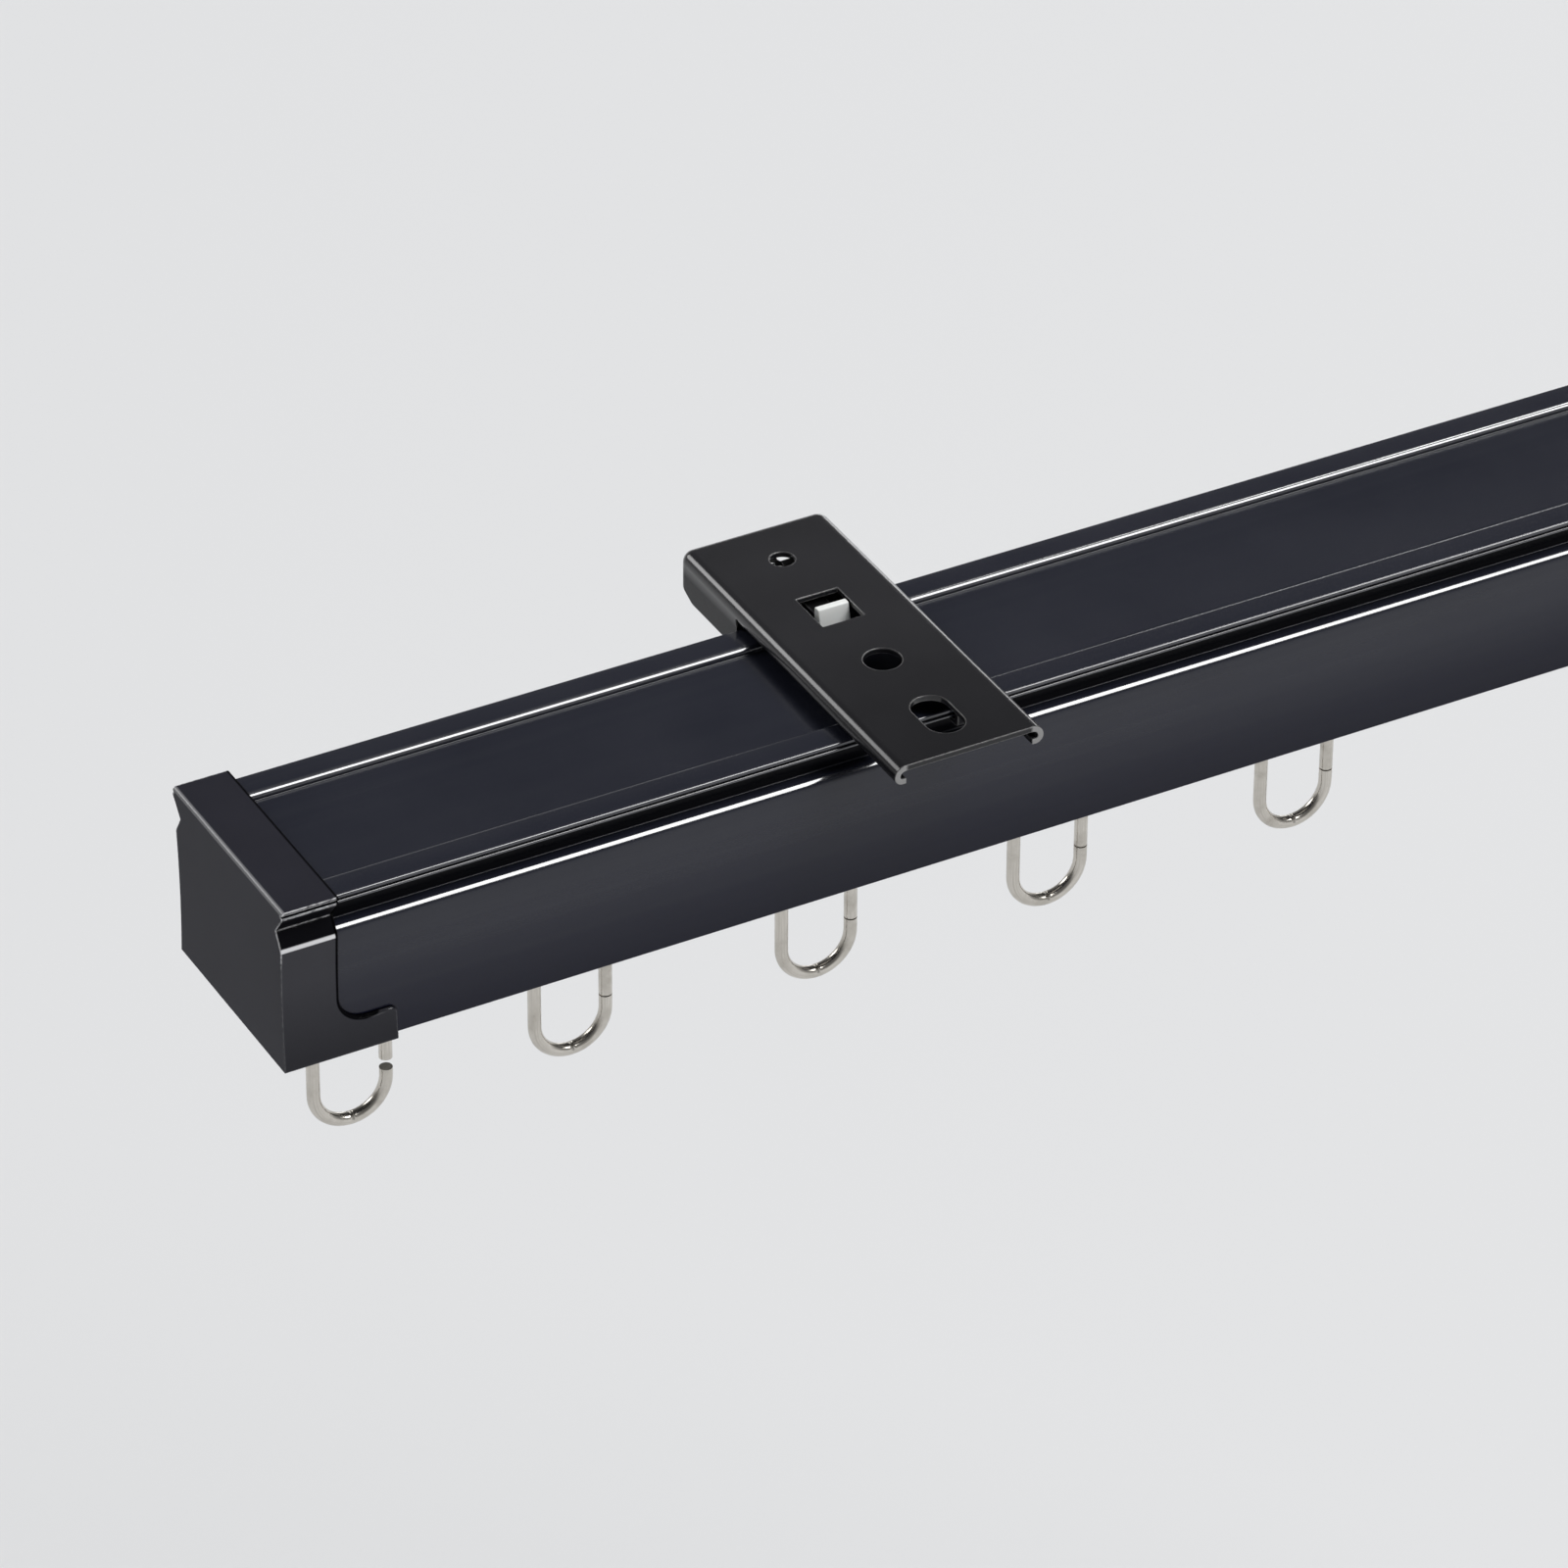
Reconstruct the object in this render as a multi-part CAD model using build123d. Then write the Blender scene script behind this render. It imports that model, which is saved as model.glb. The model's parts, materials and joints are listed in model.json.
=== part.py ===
from build123d import *
import math
import os

# Ceiling curtain track: an aluminium profile with an end cap at each end, held up by two
# clip-on ceiling brackets, with wheeled carriers inside that each hang an oval ring.
# Lengths are in millimetres. While it is built, X runs along the track from the left cap's
# outer face, Y = 0 is the middle of the track with the room side at -Y, and Z = 0 is the
# underside of the caps. Each finished piece is then moved so that the origin is midway
# between the two round ceiling screw holes, on the ceiling.

# Driving dimensions: overall
track_length = 320.0
slip_gap = 0.05

# Driving dimensions: end caps
cap_width = 28.9
cap_height = 23.5
cap_wall = 0.6
cap_end_wall = 1.5
cap_depth = 7.5
cap_edge_round = 0.55
cap_lip_width = 30.0
cap_ridge_drop = 1.0
cap_notch_drop = 0.6
cap_notch_depth = 0.45
cap_notch_height = 0.44
cap_groove_depth = 1.4
cap_groove_drop = 3.55
cap_shoulder_drop = 5.9
cap_ridge_round = 0.12
tongue_length = 15.05
tongue_height = 4.6
tongue_fillet = 3.6
tongue_corner = 0.8
plug_depth = 9.0
plug_wall = 1.2
plug_gap = 0.12
nose_width = 8.0
nose_reach = 18.0

# Driving dimensions: track profile
wall = 1.2
ceiling_wall = 1.3
lip_width = 4.25
lip_height = 1.4
lip_round = 0.35
lip_inner_round = 0.7
recess_depth = 0.9
groove_depth = 1.55
groove_height = 3.2
shoulder_round = 1.2
side_hollow = 0.35
rail_height = 5.9
rail_thickness = 1.4
slot_width = 6.6
rail_turn_down = 1.2
rail_turn_wall = 1.0

# Driving dimensions: brackets
bracket_from_end = 86.2
bracket_width = 20.5
bracket_front = -25.8
bracket_back = 29.3
sheet = 0.8
bend_radius = 1.5
rolled_edge_radius = 1.1
rolled_edge_lip = 0.5
rolled_edge_gap = 0.5
cheek_below_lip = 1.7
back_wall_rise = 1.6
back_corner_round = 1.7
cheek_tail_round = 3.6
screw_hole_y = -4.35
screw_hole_diameter = 4.8
screw_slot_y = -17.95
screw_slot_length = 8.4
screw_slot_width = 4.9
window_y = 8.8
window_width = 5.8
window_length = 6.9
sight_hole_y = 21.1
sight_hole_diameter = 3.2
hook_leg_width = 2.4
hook_leg_offset = 5.8
hook_reach = 1.15
hook_gap = 0.3
cheek_gap = 0.2

# Driving dimensions: bracket latch and its spring
latch_travel = 1.9
latch_side_gap = 0.25
latch_top_gap = 0.15
latch_block = 3.3
latch_arm = 3.4
latch_length = 9.6
latch_tongue_width = 3.0
latch_tongue_thickness = 0.95
latch_tongue_end = 9.0
latch_tab_reach = 1.8
thumb_pad_width = 10.0
thumb_pad_drop = 1.6
button_width = 4.3
button_offset = 0.5
button_back = 9.9
button_top_depth = 1.0
button_foot_depth = 1.5
button_top_gap = 0.1
button_round = 0.25
spring_diameter = 3.0
spring_wire = 0.45
spring_turns = 8
spring_pocket = 2.4
spring_side_gap = 0.25
spring_end_gap = 0.02

# Driving dimensions: carriers
carrier_places = [45.2, 79.65, 112.85, 149.2, 215.0]
wheel_diameter = 12.0
wheel_width = 4.6
wheel_rim_round = 1.3
wheel_recess_diameter = 7.3
wheel_recess_depth = 0.5
wheel_gap = 0.2
rail_gap = 0.1
body_thickness = 5.6
body_width = 10.4
body_crown = 4.6
body_drop = 12.9
foot_width = 12.4
foot_height = 2.9
boss_diameter = 5.2
boss_height = 0.5
axle_diameter = 2.6
axle_fit = 0.06
head_diameter = 4.4
head_height = 1.1
core_sheet = 0.8
core_inset = 0.2
core_crown = 3.6
ear_width = 2.0
ear_place = 5.0
ear_proud = 0.8
ear_bevel = 0.3
window_drop = 5.5
window_tail_drop = 9.6
window_top_radius = 2.1
window_tail_radius = 0.9
core_lip = 0.4
side_slot_height = 5.0
side_slot_width = 2.0
side_slot_drop = 6.5
base_length = 13.0
base_width = 6.4
base_thickness = 1.2
base_corner = 1.0

# Driving dimensions: swivel eyes and rings
stem_diameter = 2.4
stem_fit = 0.05
stem_head_diameter = 4.2
stem_head_height = 1.0
stem_pocket_gap = 0.4
eye_gap = 0.35
eye_top_width = 5.2
eye_bottom_width = 3.8
eye_height = 4.5
eye_thickness = 3.4
eye_hole_diameter = 2.5
eye_hole_drop = 2.75
eye_edge_round = 0.5
ring_wire = 1.7
ring_width = 11.5
ring_bottom = -21.95
ring_play = 0.26
seam_height = -14.4
seam_gap = 0.2
open_seam_gap = 1.5
end_ring_from_end = 15.1

# Heights and half widths of the track, worked out from the values above
half_cap = cap_width / 2
half_track = half_cap - cap_wall
track_bottom = cap_wall
track_top = cap_height - cap_wall
recess_top = track_top - recess_depth
lip_bottom = track_top - lip_height
shoulder_top = lip_bottom - groove_height
lip_inner = half_track - lip_width
groove_floor = half_track - groove_depth
rail_top = track_bottom + rail_height
rail_bottom = rail_top - rail_thickness
half_slot = slot_width / 2
chamber_half = half_track - wall
chamber_neck = groove_floor - wall
chamber_top = recess_top - ceiling_wall

# Heights of the carrier, from the axle down to the ring
axle_height = rail_top + rail_gap + wheel_diameter / 2
foot_bottom = axle_height - body_drop
base_bottom = foot_bottom - base_thickness
eye_top = base_bottom - eye_gap
eye_bottom = eye_top - eye_height
eye_hole_height = eye_top - eye_hole_drop
half_body = body_thickness / 2
wheel_inner = half_body + boss_height + wheel_gap
wheel_outer = wheel_inner + wheel_width

# Heights of the bracket: its rolled edges clear the track's lips, its cheeks reach below them
rolled_edge_bottom = track_top + rolled_edge_gap
ceiling_height = rolled_edge_bottom + rolled_edge_radius + bend_radius
sheet_under = ceiling_height - sheet
cheek_bottom = lip_bottom - cheek_below_lip
cheek_front = half_track + cheek_gap


def closed(*edges):
    """Flat face inside a closed run of edges."""
    return make_face(Wire(list(edges)))


def polygon(*points):
    """Flat face with straight sides, in its own two coordinates."""
    return make_face(Polyline(*points, close=True))


def across(profile, half_width):
    """Solid of a profile drawn in X and Z, spread evenly to both sides of Y = 0."""
    return extrude(Plane.XZ * profile, half_width, both=True)


def along(profile, start, end):
    """Solid of a profile drawn in Y and Z, run along X from start to end."""
    return extrude(Plane.YZ.offset(start) * profile, end - start, dir=(1, 0, 0))


def block(x0, x1, y0, y1, z0, z1):
    """Box between two corners."""
    size = (x1 - x0, y1 - y0, z1 - z0)
    return Pos((x0 + x1) / 2, (y0 + y1) / 2, (z0 + z1) / 2) * Box(*size)


def near(value, target):
    return abs(value - target) < 1e-4


def both_sides(half_face):
    """A section and its mirror image in Y, as one face."""
    return half_face + mirror(half_face, Plane.YZ)


def track_outline(grow=0.0):
    """Outer outline of the profile, moved outwards by a gap on every face."""
    outer = half_track + grow
    top = track_top + grow
    recess = recess_top + grow
    inner = lip_inner - grow
    under_lip = lip_bottom - grow
    floor = groove_floor + grow
    shoulder = shoulder_top + grow
    radius = shoulder_round + grow
    bottom = track_bottom - grow
    turn = half_track - shoulder_round
    below = shoulder_top - shoulder_round
    middle = (below + bottom) / 2
    corner = (turn + radius * math.sin(math.pi / 4), below + radius * math.cos(math.pi / 4))
    half = closed(
        Line((0, bottom), (0, recess)),
        Line((0, recess), (inner, recess)),
        Line((inner, recess), (inner, top)),
        Line((inner, top), (outer, top)),
        Line((outer, top), (outer, under_lip)),
        Line((outer, under_lip), (floor, under_lip)),
        Line((floor, under_lip), (floor, shoulder)),
        Line((floor, shoulder), (turn, shoulder)),
        ThreePointArc((turn, shoulder), corner, (outer, below)),
        ThreePointArc((outer, below), (outer - side_hollow, middle), (outer, bottom)),
        Line((outer, bottom), (0, bottom)),
    )
    lip_corners = [v for v in half.vertices() if near(v.X, outer) and v.Y > under_lip - 1e-4]
    half = fillet(lip_corners, lip_round)
    inner_corner = [v for v in half.vertices() if near(v.X, inner) and near(v.Y, top)]
    return both_sides(fillet(inner_corner, lip_inner_round + grow))


def chamber_outline(shrink=0.0):
    """Outline of the hollow that the wheels run in, drawn in by a gap on every face."""
    half = chamber_half - shrink
    neck = chamber_neck - shrink
    top = chamber_top - shrink
    bottom = rail_top + shrink
    knee = shoulder_top - shoulder_round
    return polygon((-half, bottom), (half, bottom), (half, knee - wall), (neck, knee + wall / 3),
                   (neck, top), (-neck, top), (-neck, knee + wall / 3), (-half, knee - wall))


def track_profile():
    """Extruded aluminium profile: two lips on top, a groove under each, two rails inside."""
    section = track_outline()
    section -= chamber_outline()
    skirt = chamber_half
    rail_under = rail_bottom - rail_turn_down
    turned = half_slot + rail_turn_wall
    section -= Pos(0, (rail_top + track_bottom) / 2) * Rectangle(slot_width, rail_top - track_bottom)
    for side in (-1, 1):
        well = polygon((side * skirt, track_bottom), (side * skirt, rail_bottom),
                       (side * turned, rail_bottom), (side * turned, rail_under),
                       (side * half_slot, rail_under), (side * half_slot, track_bottom))
        section -= well
    return along(section, cap_end_wall, track_length - cap_end_wall)


def cap_outline():
    """Outside of the end cap, seen from the end of the track."""
    lip = cap_lip_width / 2
    groove = half_cap - cap_groove_depth
    ridge = cap_height - cap_ridge_drop
    notch = cap_height - cap_notch_drop
    slope_top = cap_height - cap_groove_drop
    slope_foot = cap_height - cap_shoulder_drop
    middle = slope_foot / 2
    half = closed(
        Line((0, 0), (0, cap_height)),
        Line((0, cap_height), (lip, cap_height)),
        Line((lip, cap_height), (lip, notch + cap_notch_height / 2)),
        Line((lip, notch + cap_notch_height / 2), (lip - cap_notch_depth, notch)),
        Line((lip - cap_notch_depth, notch), (lip, notch - cap_notch_height / 2)),
        Line((lip, notch - cap_notch_height / 2), (lip, ridge)),
        Line((lip, ridge), (groove, slope_top)),
        Line((groove, slope_top), (half_cap, slope_foot)),
        ThreePointArc((half_cap, slope_foot), (half_cap - side_hollow, middle), (half_cap, 0)),
        Line((half_cap, 0), (0, 0)),
    )
    corner = [v for v in half.vertices() if near(v.X, half_cap) and near(v.Y, slope_foot)]
    half = fillet(corner, lip_round)
    corner = [v for v in half.vertices() if near(v.X, lip) and near(v.Y, ridge)]
    return both_sides(fillet(corner, cap_ridge_round))


def hanging_lug(x, top):
    """Tapered lug with a hole along the track, which a ring's wire hangs in."""
    half_top = eye_top_width / 2
    half_bottom = eye_bottom_width / 2
    lug = across(polygon((x - half_top, eye_top), (x - half_bottom, eye_bottom),
                         (x + half_bottom, eye_bottom), (x + half_top, eye_top)), eye_thickness / 2)
    lug = fillet(lug.edges().filter_by(Axis.X), eye_edge_round)
    if top > eye_top:
        lug += block(x - half_top, x + half_top, -eye_thickness / 2, eye_thickness / 2, eye_top, top)
    hole = Plane.YZ * Pos(0, eye_hole_height) * Circle(eye_hole_diameter / 2)
    return lug - Pos(x, 0, 0) * extrude(hole, half_top, both=True)


def end_cap():
    """Left end cap: a sleeve over the profile, a tray below it with the ring's lug, a plug."""
    side = closed(
        Line((0, 0), (0, cap_height)),
        Line((0, cap_height), (cap_depth, cap_height)),
        Line((cap_depth, cap_height), (cap_depth, tongue_height)),
        Line((cap_depth, tongue_height), (tongue_length, tongue_height)),
        Line((tongue_length, tongue_height), (tongue_length, 0)),
        Line((tongue_length, 0), (0, 0)),
    )
    elbow = [v for v in side.vertices() if near(v.X, cap_depth) and near(v.Y, tongue_height)]
    side = fillet(elbow, tongue_fillet)
    tip = [v for v in side.vertices() if near(v.X, tongue_length) and near(v.Y, tongue_height)]
    side = fillet(tip, tongue_corner)
    cap = along(cap_outline(), 0, tongue_length)
    end_edge = [e for e in cap.edges() if near(e.center().X, 0) and near(e.center().Z, cap_height)]
    cap = fillet(end_edge, cap_edge_round)
    cap &= across(side, cap_width)
    cap -= along(track_outline(slip_gap), cap_end_wall, tongue_length + 1)
    cap += nose_and_lug()
    return cap + plug()


def nose_and_lug():
    """Tongue in the middle of the tray, with the lug under it."""
    floor = track_bottom - slip_gap
    centre = nose_reach - nose_width / 2
    nose = Pos(centre, 0) * Circle(nose_width / 2)
    nose += Pos((cap_depth + centre) / 2, 0) * Rectangle(centre - cap_depth, nose_width)
    return extrude(nose, floor) + hanging_lug(end_ring_from_end, floor)


def plug():
    """Hollow block on the cap's inner face that pushes into the profile."""
    outer = chamber_outline(plug_gap)
    inner = chamber_outline(plug_gap + plug_wall)
    return along(outer - inner, cap_end_wall - slip_gap, plug_depth)


def rolled_section():
    """Half of the bracket's cross-section over the track: a flat sheet with its edge rolled in."""
    middle = sheet / 2
    top = ceiling_height - middle
    upper = bend_radius - middle
    lower = rolled_edge_radius - middle
    side = bracket_width / 2 - middle
    lip_z = rolled_edge_bottom + middle
    path = Wire([
        Line((0, top), (side - upper, top)),
        CenterArc((side - upper, top - upper), upper, 0, 90),
        CenterArc((side - lower, lip_z + lower), lower, 270, 90),
        Line((side - lower, lip_z), (side - lower - rolled_edge_lip, lip_z)),
    ])
    return trace(path, sheet)


def bracket_shell():
    """Pressed sheet: rolled edges over the track, and a deeper box behind it."""
    half = bracket_width / 2
    length = cheek_front - bracket_front
    front = extrude(Plane.XZ.offset(-cheek_front) * rolled_section(), length, dir=(0, -1, 0))
    front += mirror(front, Plane.YZ)
    outer = block(-half, half, cheek_front, bracket_back, cheek_bottom, ceiling_height)
    inner = block(-half + sheet, half - sheet, cheek_front - 1, bracket_back - sheet,
                  cheek_bottom - 1, sheet_under)
    outer = round_box(outer, back_corner_round, bend_radius)
    inner = round_box(inner, back_corner_round - sheet, bend_radius - sheet)
    tail = cheek_bottom + back_wall_rise
    shape = polygon((cheek_front, cheek_bottom), (bracket_back - cheek_tail_round, cheek_bottom),
                    (bracket_back, tail), (bracket_back, ceiling_height), (cheek_front, ceiling_height))
    knee = [v for v in shape.vertices() if near(v.X, bracket_back - cheek_tail_round)]
    shape = fillet(knee, cheek_tail_round / 2)
    back = (outer - inner) & extrude(Plane.YZ * shape, half, both=True)
    return front + back


def round_box(solid, corner, edge):
    """Rounds the two upright corners at the back, then the back and side edges of the top."""
    back = solid.bounding_box().max.Y
    top = solid.bounding_box().max.Z
    upright = [e for e in solid.edges().filter_by(Axis.Z) if near(e.center().Y, back)]
    solid = fillet(upright, corner)
    front = solid.bounding_box().min.Y
    rim = [e for e in solid.edges() if near(e.center().Z, top) and not near(e.center().Y, front)]
    return fillet(rim, edge)


def bracket_plate():
    """Ceiling plate with its screw holes, the two fixed hooks and the latch's runners."""
    plate = bracket_shell()
    plate -= Pos(0, screw_hole_y, ceiling_height) * Cylinder(screw_hole_diameter / 2, 4)
    slot = Rot(0, 0, 90) * SlotOverall(screw_slot_length, screw_slot_width)
    plate -= Pos(0, screw_slot_y, sheet_under - 1) * extrude(slot, sheet + 2)
    plate -= Pos(0, window_y, ceiling_height) * Box(window_width, window_length, 4)
    plate -= Pos(0, sight_hole_y, ceiling_height) * Cylinder(sight_hole_diameter / 2, 4)
    for side in (-1, 1):
        plate += Pos(side * hook_leg_offset, 0, 0) * fixed_hook()
        plate += latch_runner(side)
    return plate


def fixed_hook():
    """Hook welded under the front of the sheet, which reaches under the profile's front lip."""
    face = -(half_track + hook_gap)
    nose_top = lip_bottom
    nose = -(half_track - hook_reach)
    profile = polygon((-lip_inner, sheet_under), (face - sheet, sheet_under), (face - sheet, nose_top - sheet),
                      (nose, nose_top - sheet), (nose, nose_top), (face, nose_top),
                      (face, sheet_under - sheet), (-lip_inner, sheet_under - sheet))
    outside = [v for v in profile.vertices() if near(v.X, face - sheet)]
    profile = fillet(outside, sheet * 0.9)
    return extrude(Plane.YZ * profile, hook_leg_width / 2, both=True)


def latch_runner(side):
    """Tab turned in from the foot of a cheek, which the latch slides on."""
    outer = bracket_width / 2 - sheet / 2
    inner = bracket_width / 2 - sheet - latch_tab_reach
    start = cheek_front + sheet
    end = bracket_back - cheek_tail_round - sheet
    x0, x1 = sorted((side * outer, side * inner))
    return block(x0, x1, start, end, cheek_bottom, cheek_bottom + sheet)


def latch():
    """Sliding latch: a hook for the back lip, two arms on the runners, a tongue for the button."""
    half = bracket_width / 2 - sheet - latch_side_gap
    top = sheet_under - latch_top_gap
    low = cheek_bottom + sheet + latch_top_gap
    face = half_track + hook_gap
    back = face + latch_block
    end = face + latch_length
    section = Pos(0, (low + top) / 2) * Rectangle(2 * half, top - low)
    section = fillet(section.vertices().group_by(Axis.Y)[-1], bend_radius - sheet)
    body = extrude(Plane.XZ.offset(-end) * section, latch_length, dir=(0, -1, 0))
    body -= block(-half + latch_arm, half - latch_arm, back, end + 1, low - 1, top + 1)
    x0 = button_offset - latch_tongue_width / 2
    z0 = track_top + latch_top_gap
    tongue = block(x0, x0 + latch_tongue_width, latch_tongue_end, face + 1, z0, z0 + latch_tongue_thickness)
    nose_top = lip_bottom - hook_gap
    pad_low = cheek_bottom - thumb_pad_drop
    nose = half_track - hook_reach
    hook = polygon((nose, nose_top), (nose, nose_top - sheet), (face, nose_top - 2 * sheet),
                   (face, pad_low), (back, pad_low), (back, nose_top), (face, nose_top))
    hook = extrude(Plane.YZ * hook, thumb_pad_width / 2, both=True)
    hook -= thumb_grooves(face, back, pad_low)
    pocket = spring_diameter / 2 + spring_side_gap
    hole = Plane.XZ.offset(-back) * Pos(0, spring_axis_height()) * Circle(pocket)
    return body + tongue + hook - extrude(hole, spring_pocket, dir=(0, -1, 0))


def button():
    """Nylon button on the latch's tongue, which stands up in the window."""
    low = track_top + latch_top_gap
    top = ceiling_height - button_top_gap
    front = button_back - button_foot_depth
    shape = polygon((button_back, top), (button_back - button_top_depth, top), (front, low + sheet),
                    (front, low), (button_back, low))
    shape = fillet([v for v in shape.vertices() if near(v.Y, top)], button_round)
    solid = extrude(Plane.YZ * shape, button_width / 2, both=True)
    half = latch_tongue_width / 2
    solid -= block(-half, half, latch_tongue_end, button_back + 1, low - 1, low + latch_tongue_thickness)
    return Pos(button_offset, 0, 0) * solid


def thumb_grooves(face, back, low):
    """Three grooves across the underside of the thumb pad."""
    depth = 0.35
    count = 3
    pitch = (back - face) / count
    cutter = Rot(0, 90, 0) * Cylinder(depth, thumb_pad_width + 2)
    places = [face + pitch * (i + 0.5) for i in range(count)]
    return Compound([Pos(0, y, low) * cutter for y in places])


def spring_axis_height():
    return (cheek_bottom + sheet + latch_top_gap + sheet_under - latch_top_gap) / 2


def spring():
    """Compression spring between the latch's pocket and the bracket's back wall."""
    start = half_track + hook_gap + latch_block - spring_pocket + spring_wire / 2 + spring_end_gap
    end = bracket_back - sheet - spring_wire / 2 - spring_end_gap
    radius = (spring_diameter - spring_wire) / 2
    coil = Helix((end - start) / spring_turns, end - start, radius)
    wire = sweep(Plane(coil @ 0, z_dir=coil % 0) * Circle(spring_wire / 2), path=coil, is_frenet=True)
    return Pos(0, start, spring_axis_height()) * Rot(-90, 0, 0) * wire


def hull_slot(x, top, top_radius, tail, tail_radius):
    """Keyhole outline: a large circle at the top and a small one below, joined by tangents."""
    distance = top - tail
    lean = math.asin((top_radius - tail_radius) / distance)
    c, s = math.cos(lean), math.sin(lean)
    left_top = (x - top_radius * c, top - top_radius * s)
    right_top = (x + top_radius * c, top - top_radius * s)
    left_tail = (x - tail_radius * c, tail - tail_radius * s)
    right_tail = (x + tail_radius * c, tail - tail_radius * s)
    return closed(
        ThreePointArc(left_top, (x, top + top_radius), right_top),
        Line(right_top, right_tail),
        ThreePointArc(right_tail, (x, tail - tail_radius), left_tail),
        Line(left_tail, left_top),
    )


def core_face():
    """One lamination: a bridge over the axle, two legs, and an ear at the foot of each leg."""
    side = body_width / 2 - core_inset
    ear_in = ear_place - ear_width / 2
    ear_out = ear_place + ear_width / 2
    bridge = foot_bottom + stem_head_height + stem_pocket_gap + sheet
    ear_end = base_bottom - ear_proud
    shoulder = axle_height - core_crown
    face = Pos(0, (shoulder - 1 + bridge) / 2) * Rectangle(2 * side, shoulder - 1 - bridge)
    face += Pos(0, axle_height) * Circle(core_crown)
    face += polygon((-side, shoulder - 1), (-core_crown, axle_height), (core_crown, axle_height),
                    (side, shoulder - 1))
    for s in (-1, 1):
        face += polygon((s * ear_in, ear_end + ear_bevel), (s * (ear_in + ear_bevel), ear_end),
                        (s * (ear_out - ear_bevel), ear_end), (s * ear_out, ear_end + ear_bevel),
                        (s * ear_out, foot_bottom + foot_height - 1), (s * side, foot_bottom + foot_height),
                        (s * ear_in, foot_bottom + foot_height))
    face -= hull_slot(0, axle_height - window_drop, window_top_radius - core_lip,
                      axle_height - window_tail_drop, window_tail_radius - core_lip / 2)
    return face - Pos(0, axle_height) * Circle(axle_diameter / 2)


def carrier_core():
    """Two steel laminations side by side."""
    sheets = []
    for side in (-1, 1):
        y = side * core_sheet / 2
        sheets.append(extrude(Plane.XZ.offset(-y) * core_face(), core_sheet / 2, both=True))
    return Compound(sheets)


def carrier_body():
    """Moulded nylon body around the core, with a keyhole opening and two side slots."""
    half = body_width / 2
    half_foot = foot_width / 2
    knee = axle_height - body_crown
    foot_top = foot_bottom + foot_height
    outline = Pos(0, axle_height) * Circle(body_crown)
    outline += polygon((-body_crown, axle_height), (body_crown, axle_height), (half, knee - 1),
                       (half, foot_top), (half_foot, foot_top - 1), (half_foot, foot_bottom),
                       (-half_foot, foot_bottom), (-half_foot, foot_top - 1), (-half, foot_top),
                       (-half, knee - 1))
    body = across(outline, half_body)
    body = fillet([e for e in body.edges().filter_by(Axis.Z) if near(abs(e.center().X), half_foot)], 0.8)
    boss = Plane.XZ * Pos(0, axle_height) * Circle(boss_diameter / 2)
    body += extrude(boss, half_body + boss_height, both=True)
    body -= across(hull_slot(0, axle_height - window_drop, window_top_radius,
                             axle_height - window_tail_drop, window_tail_radius), half_body + 1)
    body -= extrude(Plane.XZ * Pos(0, axle_height) * Circle(axle_diameter / 2), wheel_outer, both=True)
    for side in (-1, 1):
        x0, x1 = sorted((side * (half - core_inset), side * (half + 1)))
        z1 = axle_height - side_slot_drop + side_slot_height / 2
        z0 = axle_height - side_slot_drop - side_slot_height / 2
        body -= block(x0, x1, -side_slot_width / 2, side_slot_width / 2, z0, z1)
    pocket = stem_head_height + stem_pocket_gap
    body -= Pos(0, 0, foot_bottom + pocket / 2) * Cylinder(stem_head_diameter / 2 + stem_pocket_gap, pocket)
    return body - across(core_envelope(), core_sheet)


def core_envelope():
    """Room that the core fills in the moulding, without its openings."""
    return Sketch() + core_face() + Pos(0, axle_height) * Circle(core_crown - sheet)


def base_plate():
    """Plate staked under the body: a centre hole for the swivel stem, a slot for each ear."""
    plate = Box(base_length, base_width, base_thickness)
    plate = fillet(plate.edges().filter_by(Axis.Z), base_corner)
    rim = plate.edges().group_by(Axis.Z)[0]
    plate = fillet(rim, base_thickness / 4)
    plate = Pos(0, 0, foot_bottom - base_thickness / 2) * plate
    plate -= Pos(0, 0, foot_bottom) * Cylinder(stem_diameter / 2 + stem_fit, 4 * base_thickness)
    for side in (-1, 1):
        plate -= Pos(side * ear_place, 0, foot_bottom) * Box(ear_width, 2 * core_sheet, 4 * base_thickness)
    return plate


def axle_rivet():
    """Axle with a domed head at each end."""
    seat = wheel_outer + wheel_gap
    rivet = Plane.XZ * Pos(0, axle_height) * Circle(axle_diameter / 2)
    rivet = extrude(rivet, seat, both=True)
    radius = head_diameter / 2
    ball = (radius ** 2 + head_height ** 2) / (2 * head_height)
    dome = Pos(0, 0, head_height - ball) * Sphere(ball)
    dome &= Pos(0, 0, head_height / 2) * Cylinder(radius, head_height)
    for side in (-1, 1):
        rivet += Pos(0, side * seat, axle_height) * Rot(-90 * side, 0, 0) * dome
    return rivet


def wheel(side):
    """Nylon wheel with rounded rims and a dished outer face."""
    radius = wheel_diameter / 2
    bore = axle_diameter / 2 + axle_fit
    dish = wheel_recess_diameter / 2
    face = polygon((bore, 0), (radius, 0), (radius, wheel_width), (dish, wheel_width),
                   (dish - wheel_recess_depth / 2, wheel_width - wheel_recess_depth),
                   (head_diameter / 2 + 0.3, wheel_width - wheel_recess_depth),
                   (head_diameter / 2 + 0.1, wheel_width), (bore, wheel_width))
    rims = [v for v in face.vertices() if near(v.X, radius)]
    face = fillet(rims, wheel_rim_round)
    solid = revolve(Plane.XZ * face, Axis.Z)
    return Pos(0, side * wheel_inner, axle_height) * Rot(-90 * side, 0, 0) * solid


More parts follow.
